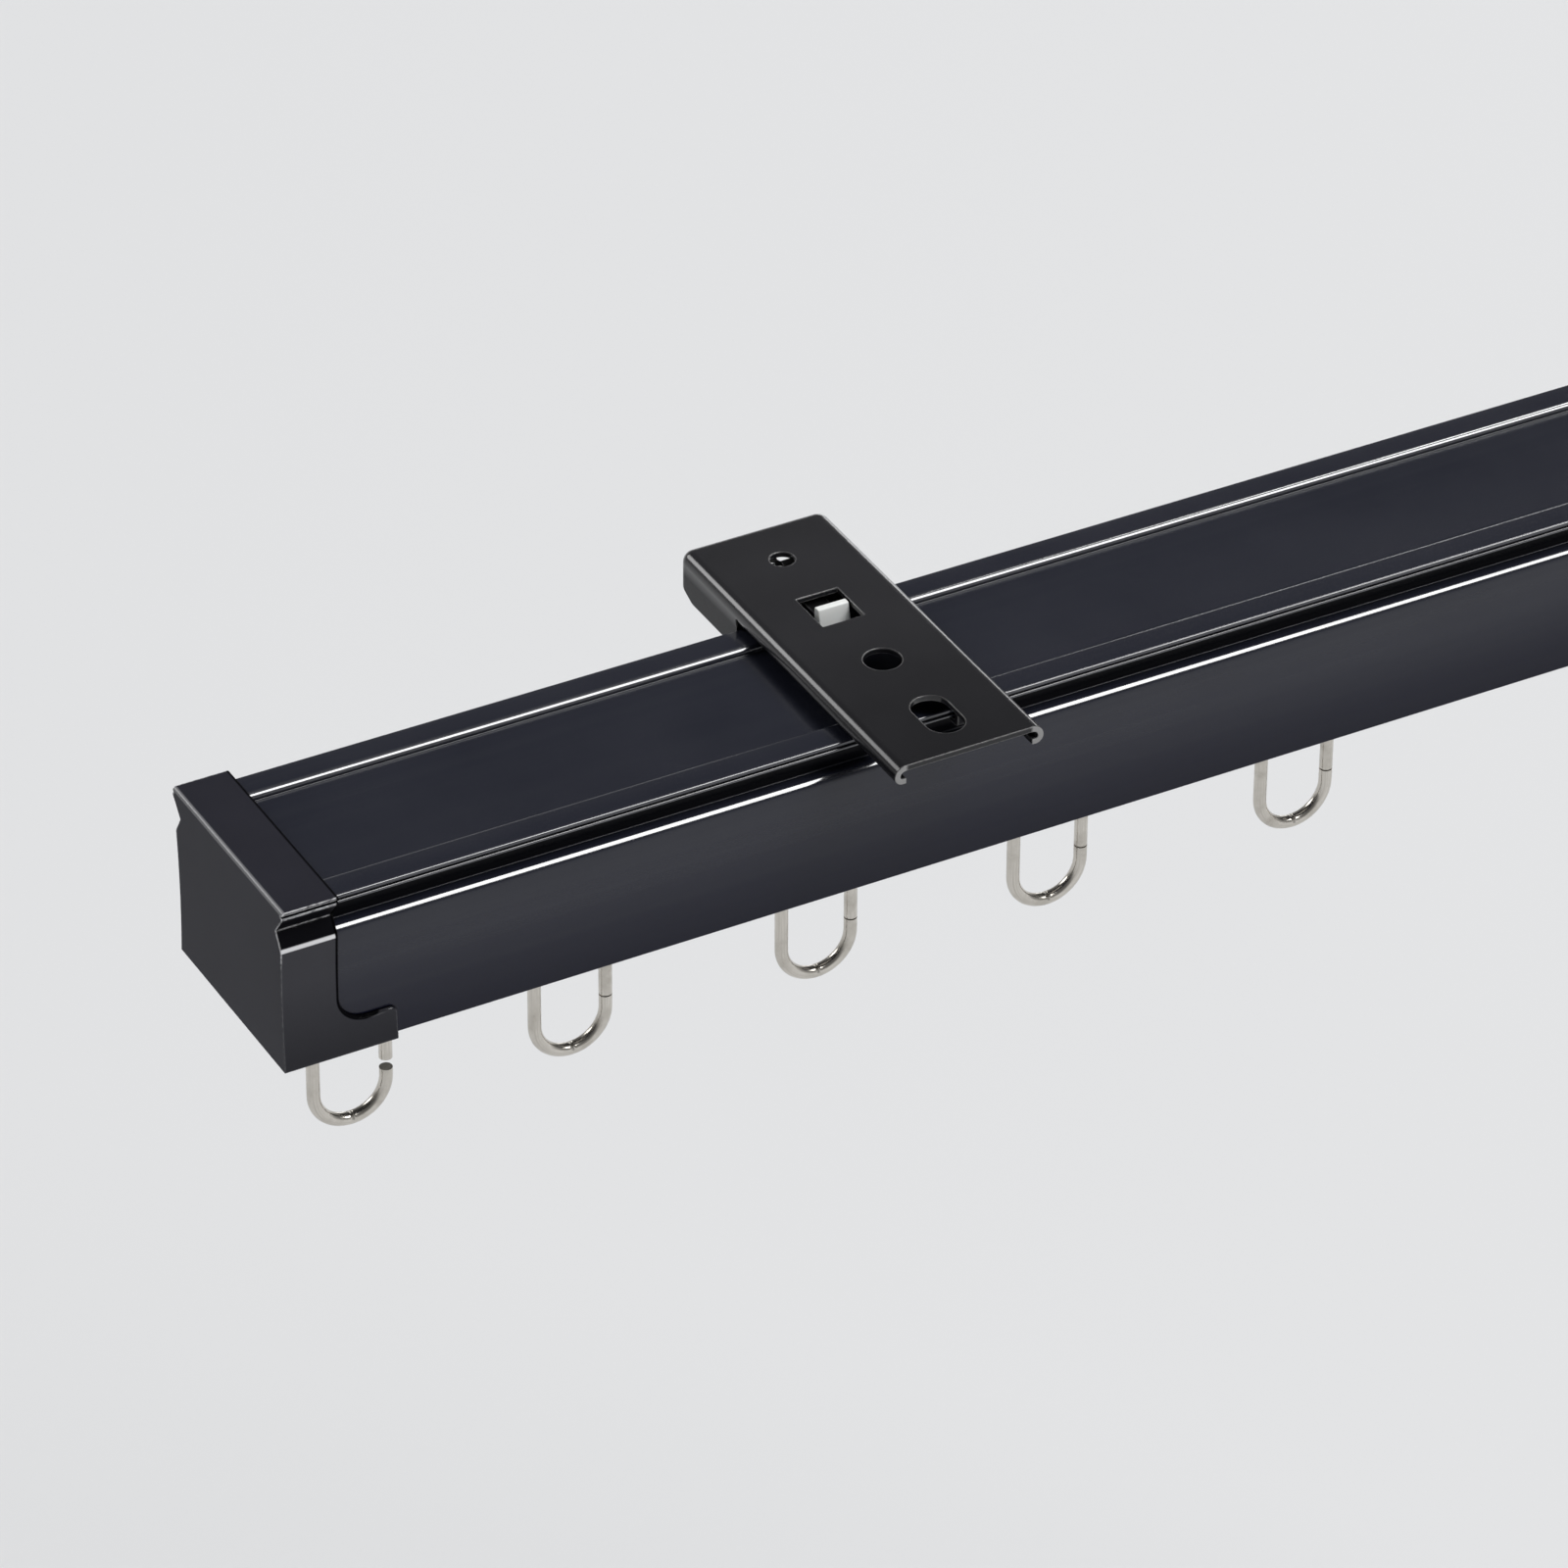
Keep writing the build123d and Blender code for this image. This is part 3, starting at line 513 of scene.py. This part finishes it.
# %% [markdown]
# Shapes that follow a rule are made with Geometry Nodes: a section that is pushed along the
# track, a wire that follows an oval, and a wire that follows a helix. Each tree starts with its
# named sizes and ends by making its result real and giving it its finish. The object is then
# turned into a plain mesh, so that nothing is left to work out later.

# %% A builder for shape trees
class Shape(Recipe):
    """A Geometry Nodes tree with named inputs."""

    def __init__(self, name, **sizes):
        super().__init__(bpy.data.node_groups.new(name, "GeometryNodeTree"))
        face = self.tree.interface
        face.new_socket("Geometry", in_out="INPUT", socket_type="NodeSocketGeometry")
        for label, value in sizes.items():
            kind = "NodeSocketVector" if isinstance(value, Vector) else "NodeSocketFloat"
            face.new_socket(label, in_out="INPUT", socket_type=kind).default_value = value
        face.new_socket("Finish", in_out="INPUT", socket_type="NodeSocketMaterial")
        face.new_socket("Geometry", in_out="OUTPUT", socket_type="NodeSocketGeometry")
        self.inputs = self.node("NodeGroupInput")

    def finish_with(self, geometry):
        real = self.node("GeometryNodeRealizeInstances", None, {0: geometry})
        done = self.node("GeometryNodeSetMaterial", None, {0: real, "Material": self.inputs["Finish"]})
        self.node("NodeGroupOutput", None, {0: done})

    def attribute(self, geometry, name, kind, value):
        settings = {"data_type": kind, "domain": "POINT"}
        values = {0: geometry, "Name": name, "Value": value}
        return self.node("GeometryNodeStoreNamedAttribute", settings, values)

    def wire(self, path, thickness):
        """A round wire along a path, with its two wire attributes."""
        length = self.node("GeometryNodeSplineParameter")["Length"]
        path = self.attribute(path, "along_wire", "FLOAT", length)
        values = {"Resolution": 24, "Radius": thickness * 0.5}
        circle = self.node("GeometryNodeCurvePrimitiveCircle", None, values)
        around = self.node("GeometryNodeInputPosition")
        circle = self.attribute(circle, "round_wire", "FLOAT_VECTOR", around)
        return self.node("GeometryNodeCurveToMesh", None, {0: path, 1: circle, "Fill Caps": True})


def made_by(shape, name, finish, base=None, **sizes):
    """Runs a shape tree and gives back its result as a plain mesh object."""
    host = bpy.data.objects.new(name + "_base", base or bpy.data.meshes.new(name))
    bpy.context.scene.collection.objects.link(host)
    modifier = host.modifiers.new("shape", "NODES")
    modifier.node_group = shape.tree
    for item in shape.tree.interface.items_tree:
        if item.in_out == "INPUT" and item.name in sizes:
            modifier[item.identifier] = sizes[item.name]
        if item.in_out == "INPUT" and item.name == "Finish":
            modifier[item.identifier] = finishes[finish]
    graph = bpy.context.evaluated_depsgraph_get()
    mesh = bpy.data.meshes.new_from_object(host.evaluated_get(graph), depsgraph=graph)
    bpy.data.objects.remove(host)
    mesh.name = name
    return link(name, mesh)


def link(name, mesh):
    piece = bpy.data.objects.new(name, mesh)
    bpy.context.scene.collection.objects.link(piece)
    return piece


def stands_for(piece, node):
    """The piece moves as the solid node did, and the solid node is hidden."""
    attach(piece, body_of[node])
    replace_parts(piece, node)
    return piece


print("shape builder ready")

# %% [markdown]
# The profile is one section from end to end. Its corners are listed here once for the half at
# the back, each with the radius that the die gives it, and then mirrored to the front. The inner
# corner of each lip has a radius of 0.7 mm: it is the bright line that runs along the whole
# track. A fine notch splits the lip's outer face into two ridges, the groove under it gets
# deeper towards its foot, which keeps it black, and the tall sides are drawn in by a third of a
# millimetre.

# %% Section of the profile
half_track, half_chamber, half_neck = 13.85, 12.65, 11.1
lip_inner, lip_top, recess_floor = 9.6, 22.9, 22.0
notch, notch_depth, notch_reach = 22.22, 0.35, 0.2
lip_foot, groove_top, shoulder_top, side_top, side_foot = 21.75, 21.5, 18.3, 17.1, 0.6
half_groove_top, half_groove_foot = 12.3, 11.8
rail_top, rail_under, rail_inner, slot_wall, slot_foot = 6.5, 5.1, 4.3, 3.3, 3.9
chamber_knee, neck_foot, chamber_top = 15.9, 17.5, 20.7
side_hollow = 0.35
hollow_steps = 10
back_half = [
    (lip_inner, recess_floor, 0.10), (lip_inner, lip_top, 0.70), (half_track, lip_top, 0.25),
    (half_track, notch + notch_reach, 0.10), (half_track - notch_depth, notch, 0.05),
    (half_track, notch - notch_reach, 0.12), (half_track, lip_foot, 0.12),
    (half_groove_top, groove_top, 0.15), (half_groove_foot, shoulder_top, 0.15),
    (half_track, shoulder_top, 1.19),
]
for step in range(1, hollow_steps):
    t = 2 * step / hollow_steps - 1
    height = side_top + (side_foot - side_top) * (t + 1) / 2
    back_half.append((half_track - side_hollow * (1 - t * t), height, 0.0))
back_half += [
    (half_track, side_foot, 0.22), (half_chamber, side_foot, 0.22), (half_chamber, rail_under, 0.3),
    (rail_inner, rail_under, 0.3), (rail_inner, slot_foot, 0.2), (slot_wall, slot_foot, 0.2),
    (slot_wall, rail_top, 0.25), (half_chamber, rail_top, 0.3), (half_chamber, chamber_knee, 0.4),
    (half_neck, neck_foot, 0.4), (half_neck, chamber_top, 0.5),
]
front_half = [(-y, z, radius) for y, z, radius in reversed(back_half)]
corners = list(reversed(back_half + front_half))
section = bpy.data.meshes.new("profile_section")
section.from_pydata(
    [place(0, y, z) for y, z, radius in corners],
    [(i, (i + 1) % len(corners)) for i in range(len(corners))],
    [],
)
radii = section.attributes.new("corner_radius", "FLOAT", "POINT")
radii.data.foreach_set("value", [radius * MM for y, z, radius in corners])
print("section has", len(corners), "corners")

# %% [markdown]
# The tree rounds the section's corners and carries it along a straight line. Curve to Mesh lays
# a section in the plane that its X and Y axes span, so the section is first turned to stand
# upright on a line that runs along X.

# %% Profile tree
def extrusion_tree():
    s = Shape("extrusion", Start=0.0, End=1.0)
    outline = s.node("GeometryNodeMeshToCurve", None, {0: s.inputs["Geometry"]})
    radius = s.node("GeometryNodeInputNamedAttribute", {"data_type": "FLOAT"}, {"Name": "corner_radius"})
    values = {0: outline, "Radius": radius, "Count": 8, "Limit Radius": True}
    outline = s.node("GeometryNodeFilletCurve", {"mode": "POLY"}, values)
    at = s.node("ShaderNodeSeparateXYZ", None, {0: s.node("GeometryNodeInputPosition")})
    flat = s.node("ShaderNodeCombineXYZ", None, {0: at[1] * -1.0, 1: at[2] * -1.0})
    outline = s.node("GeometryNodeSetPosition", None, {0: outline, "Position": flat})
    start = s.node("ShaderNodeCombineXYZ", None, {0: s.inputs["Start"]})
    end = s.node("ShaderNodeCombineXYZ", None, {0: s.inputs["End"]})
    line = s.node("GeometryNodeCurvePrimitiveLine", None, {"Start": start, "End": end})
    line = s.node("GeometryNodeResampleCurve", None, {0: line, "Count": 40})
    s.finish_with(s.node("GeometryNodeCurveToMesh", None, {0: line, 1: outline, "Fill Caps": True}))
    return s


cap_end_wall = 1.5
ends = {"Start": place(cap_end_wall, 0, 0).x, "End": place(track_length - cap_end_wall, 0, 0).x}
profile = made_by(extrusion_tree(), "profile", "track", base=section, **ends)
low, high = profile.bound_box[0], profile.bound_box[6]
print("profile spans", [round(v, 4) for v in low], [round(v, 4) for v in high])
stands_for(profile, "track_profile")

# %% [markdown]
# Each ring is one length of wire, bent to an oval with its two ends left meeting in one leg. Six
# corners describe it, and rounding the outer four by half the ring's width turns the ends into
# half circles. The end rings have a wider opening than the ones on the carriers.

# %% Ring tree
def ring_tree():
    sizes = {"Top": 0.0, "Bottom": 0.0, "Seam": 0.0, "Opening": 0.0002, "Side": 1.0, "Place": Vector()}
    s = Shape("oval_ring", Width=0.0115, Wire=0.0017, **sizes)
    reach = (s.inputs["Width"] - s.inputs["Wire"]) * 0.5
    ends = (s.inputs["Seam"] + s.inputs["Opening"] * 0.5, s.inputs["Seam"] - s.inputs["Opening"] * 0.5)
    index = s.node("GeometryNodeInputIndex")
    corner = s.node("GeometryNodeIndexSwitch", {"data_type": "VECTOR"}, {0: index})
    switch = corner.made
    while len(switch.index_switch_items) < 6:
        switch.index_switch_items.new()
    cut_leg = reach * s.inputs["Side"]
    whole_leg = cut_leg * -1.0
    top, bottom = s.inputs["Top"], s.inputs["Bottom"]
    around = ((cut_leg, ends[0]), (cut_leg, top), (whole_leg, top),
              (whole_leg, bottom), (cut_leg, bottom), (cut_leg, ends[1]))
    for number, (x, z) in enumerate(around):
        point = s.node("ShaderNodeCombineXYZ", None, {0: x, 2: z})
        s.tree.links.new(point.socket, switch.inputs[number + 1])
    points = s.node("GeometryNodeMeshLine", None, {"Count": 6})
    points = s.node("GeometryNodeSetPosition", None, {0: points, "Position": corner})
    path = s.node("GeometryNodeMeshToCurve", None, {0: points})
    values = {0: path, "Radius": reach, "Count": 18, "Limit Radius": True}
    path = s.node("GeometryNodeFilletCurve", {"mode": "POLY"}, values)
    path = s.node("GeometryNodeTransform", None, {0: path, "Translation": s.inputs["Place"]})
    s.finish_with(s.wire(path, s.inputs["Wire"]))
    return s


ring_shape = ring_tree()
print("ring tree has", len(ring_shape.tree.nodes), "nodes")

# %% [markdown]
# The rings hang in the holes of the swivel eyes and of the caps' lugs. The middle of the wire
# lies half a wire inside the ring's outline. At the top it lies a little above the middle of the
# hole, because the wire curves down on both sides of it.

# %% Rings
eye_hole_height, ring_play = -4.6, 0.26
ring_top = eye_hole_height + ring_play
ring_bottom, ring_seam, ring_width, ring_wire = -21.95, -14.4, 11.5, 1.7
carrier_places = [45.2, 79.65, 112.85, 149.2, 215.0]
end_ring_from_end, seam_opening, end_ring_opening = 15.1, 0.2, 1.5
ring_places = {f"carrier_{n}_ring": (x, seam_opening, 1.0) for n, x in enumerate(carrier_places, start=1)}
ring_places["end_ring_left"] = (end_ring_from_end, end_ring_opening, 1.0)
ring_places["end_ring_right"] = (track_length - end_ring_from_end, end_ring_opening, -1.0)
for node, (x, opening, side) in ring_places.items():
    sizes = {"Width": ring_width * MM, "Wire": ring_wire * MM, "Top": ring_top * MM}
    sizes.update(Bottom=(ring_bottom + ring_wire / 2) * MM, Seam=ring_seam * MM, Opening=opening * MM)
    sizes.update(Side=side, Place=place(x, 0, 0))
    stands_for(made_by(ring_shape, node + "_wire", "wire", **sizes), node)
print(len(ring_places), "rings hung")

# %% [markdown]
# Behind each bracket's latch sits a small compression spring, which shows through the sight
# hole. It is a helix of round wire. When the latch is pushed back the spring gets shorter.

# %% Springs
def spring_tree():
    s = Shape("coil_spring", Diameter=0.003, Wire=0.00045, Length=0.01, Turns=8.0, Place=Vector())
    radius = (s.inputs["Diameter"] - s.inputs["Wire"]) * 0.5
    values = {"Resolution": 20, "Rotations": s.inputs["Turns"], "Start Radius": radius, "End Radius": radius}
    values["Height"] = s.inputs["Length"]
    helix = s.node("GeometryNodeCurveSpiral", None, values)
    values = {0: helix, "Translation": s.inputs["Place"], "Rotation": (math.radians(-90), 0, 0)}
    helix = s.node("GeometryNodeTransform", None, values)
    s.finish_with(s.wire(helix, s.inputs["Wire"]))
    return s


spring_shape = spring_tree()
spring_start, spring_end, spring_height = 15.295, 28.255, 22.9
spring_diameter, spring_wire, spring_turns = 3.0, 0.45, 8.0
for side, x in bracket_places.items():
    node = f"bracket_{side}_spring"
    sizes = {"Diameter": spring_diameter * MM, "Wire": spring_wire * MM, "Turns": spring_turns}
    sizes.update(Length=(spring_end - spring_start) * MM, Place=place(x, spring_start, spring_height))
    coil = made_by(spring_shape, node + "_coil", "spring", **sizes)
    stands_for(coil, node)
    back_end = place(x, spring_end + spring_wire / 2, spring_height)
    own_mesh(coil)

# %% [markdown]
# The other pieces keep the exact shape of their solid nodes, but a solid's edges are razor
# sharp, and no pressed or moulded part has such edges. So each node is copied, its loose
# triangles are joined, flat areas are cleared of spare edges, and every sharp edge gets a small
# rounding that catches the light as the real one does. An edge's share of the rounding is kept
# with the edge, so that the caps' mouths can be rounder than their fine ridges.

# %% Rounded copies of the solid pieces
least_corner = math.radians(38)
cap_rim, cap_side = 23.3, 14.05
mouth_start, mouth_end = 7.0, 17.9


def part_laminations(work):
    """Moves the two sheets of a core a hair apart where they touch."""
    for face in work.faces:
        lean = face.calc_center_median().y - across(0)
        side = math.copysign(1, lean if abs(lean) > 0.01 * MM else -face.normal.y)
        for corner in face.verts:
            if abs(corner.co.y - across(0)) < 0.001 * MM:
                corner.co.y += side * 0.01 * MM


def share_of(edge, node):
    """How much of the piece's rounding an edge gets: none if it is shallow."""
    if len(edge.link_faces) != 2 or edge.calc_face_angle() < least_corner:
        return 0.0
    if "end_cap" not in node:
        return 1.0
    middle = (edge.verts[0].co + edge.verts[1].co) / 2
    inwards = track_length / 2 - abs(middle.x) / MM
    beside = abs(middle.y - across(0)) / MM
    height = middle.z / MM + ceiling_height
    if inwards < 0.1 and height > cap_rim:
        return 1.0
    at_mouth = mouth_start < inwards < mouth_end and (beside > cap_side or height > cap_rim)
    return 0.8 if at_mouth else 0.3


def softened(node, width):
    """A copy of a solid node with its sharp edges rounded, which then stands for the node."""
    mesh = bpy.data.meshes.new(node + "_finished")
    work = bmesh.new()
    work.from_mesh(nodes[node].data)
    if node.endswith("_core"):
        part_laminations(work)
    bmesh.ops.remove_doubles(work, verts=work.verts, dist=0.0015 * MM)
    bmesh.ops.dissolve_limit(work, angle_limit=math.radians(0.3), verts=work.verts, edges=work.edges)
    share = work.edges.layers.float.new("bevel_weight_edge")
    for edge in work.edges:
        edge[share] = share_of(edge, node)
    work.to_mesh(mesh)
    work.free()
    mesh.materials.clear()
    mesh.materials.append(finishes[slot_of[node]])
    host = link(node + "_finished", mesh)
    rounding = host.modifiers.new("rounding", "BEVEL")
    rounding.width = width * MM
    rounding.segments = 3
    rounding.limit_method = "WEIGHT"
    rounding.use_clamp_overlap = False
    flatness = host.modifiers.new("flatness", "WEIGHTED_NORMAL")
    flatness.weight = 100
    flatness.keep_sharp = True
    mesh.shade_smooth()
    graph = bpy.context.evaluated_depsgraph_get()
    done = bpy.data.meshes.new_from_object(host.evaluated_get(graph), depsgraph=graph)
    host.modifiers.clear()
    host.data = done
    return stands_for(host, node)


edge_width = {"end_cap": 0.30, "plate": 0.13, "latch": 0.10, "button": 0.12, "body": 0.10, "core": 0.04,
              "base_plate": 0.12, "axle": 0.05, "wheel_front": 0.12, "wheel_back": 0.12, "swivel_eye": 0.10}
made = [piece["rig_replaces"][0] for piece in bpy.context.scene.objects if "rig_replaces" in piece]
for node in sorted(set(nodes) - set(made)):
    kind = max((k for k in edge_width if k in node), key=len)
    softened(node, edge_width[kind])
print(len(nodes) - len(made), "pieces rounded")

# %% [markdown]
# Under the spring, seen through a bracket's sight hole, there should be only shade. So each latch
# gets a thin dark sheet between its two arms, made up to stand in for that shade: painted shade in
# the form of a piece. It slides with the latch, and it passes under the foot of the bracket's back
# wall when the latch is pushed all the way back.

# %% Dark sheets under the springs, as painted shade
half_shade_sheet, shade_sheet_start, shade_sheet_end = 5.75, 17.5, 28.0
shade_sheet_under, shade_sheet_top = 20.3, 20.8


def shade_sheet_of_latch(side, x):
    """A thin dark plate with rounded edges, from the latch's thumb pad to under the back wall: painted
    shade.
    """
    low = place(x - half_shade_sheet, shade_sheet_start, shade_sheet_under)
    high = place(x + half_shade_sheet, shade_sheet_end, shade_sheet_top)
    size = high - low
    mesh = bpy.data.meshes.new("shade_sheet_of_latch_" + side)
    work = bmesh.new()
    bmesh.ops.create_cube(work, size=1.0)
    for corner in work.verts:
        corner.co = (low + high) / 2 + Vector([a * b for a, b in zip(corner.co, size)])
    bmesh.ops.bevel(work, geom=work.edges[:], offset=0.12 * MM, segments=2, affect="EDGES")
    work.to_mesh(mesh)
    work.free()
    mesh.materials.append(finishes["latch"])
    floor = link(mesh.name, mesh)
    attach(floor, "latch_" + side)
    return floor


for side, x in bracket_places.items():
    print(shade_sheet_of_latch(side, x).name, "made")

# %% [markdown]
# The stage is one plain pale floor, well below the track, so that the track's shadow on it is
# faint and soft. Its colour is the photograph's background.

# %% Floor
floor_height, floor_reach = -0.34, 6
floor_mesh = bpy.data.meshes.new("floor")
floor_signs = ((-1, -1), (1, -1), (1, 1), (-1, 1))
floor_corners = [(a * floor_reach, b * floor_reach, floor_height) for a, b in floor_signs]
floor_mesh.from_pydata(floor_corners, [], [(0, 1, 2, 3)])
floor = link("floor", floor_mesh)
ground = Finish("pale_floor", Roughness=0.9, Specular_IOR_Level=0.1)
pale = ground.mix(ground.pattern(0.8, 1.0), (0.735, 0.742, 0.752), (0.765, 0.77, 0.78))
ground.to_shader("Base Color", pale)
floor_mesh.materials.append(ground.material)
print("floor lies", -floor_height, "m under the ceiling")

# %% [markdown]
# The light is soft studio light. One lamp stands high up to the right and behind: the bracket's
# shadow falls to the left. A tall softbox in front and above draws the bright line on the
# shoulder and on the back lip of the recess, because those slopes mirror it into the lens. Two
# weaker ones behind draw the bracket's bends and the caps' upper edges. All stand far off, so
# that the whole floor is equally bright. A lamp's power is worked out from the share of the
# plain light level that it should give. The room itself is darker above than at the horizon,
# for its reflections, and looks like the floor where the camera sees it.

# %% Lamps and surrounding light
middle = Vector((-0.03, 0.0, -0.02))
lamp_distance = 9.0


def softbox(name, toward, size, share):
    """A rectangular lamp: toward is its direction from the track, size its width and height."""
    lamp = bpy.data.lights.new(name, "AREA")
    lamp.shape = "RECTANGLE"
    lamp.size, lamp.size_y = size
    lamp.energy = share * math.pi ** 2 * lamp_distance ** 2
    stand = link(name, lamp)
    direction = Vector(toward).normalized()
    stand.location = middle + direction * lamp_distance
    stand.rotation_euler = direction.to_track_quat("Z", "Y").to_euler()
    return stand


softbox("main_softbox", (0.62, 0.28, 0.86), (2.4, 2.4), 0.28)
softbox("front_softbox", (0.40, -0.45, 0.80), (3.9, 5.7), 0.70)
softbox("back_left_softbox", (-0.48, 0.72, 0.48), (3.9, 3.0), 0.24)
softbox("back_strip", (0.60, 0.78, 0.10), (3.6, 0.75), 0.045)

world = bpy.data.worlds.new("studio")
bpy.context.scene.world = world
world.use_nodes = True
room = Recipe(world.node_tree)
height = room.node("ShaderNodeSeparateXYZ", None, {0: room.node("ShaderNodeTexCoord")["Generated"]})[2]
greys = [(0.0, 0.75), (0.1, 0.5), (0.35, 0.16), (0.7, 0.12), (1.0, 0.3)]
tone = room.node("ShaderNodeValToRGB", {"stops": greys}, {0: height})
background = next(n for n in world.node_tree.nodes if n.type == "BACKGROUND")
seen = room.node("ShaderNodeLightPath")["Is Camera Ray"]
plain = {0: seen, 6: tone, 7: (0.755, 0.765, 0.775, 1)}
tone = room.node("ShaderNodeMix", {"data_type": "RGBA"}, plain)[2]
room.tree.links.new(tone.socket, background.inputs["Color"])
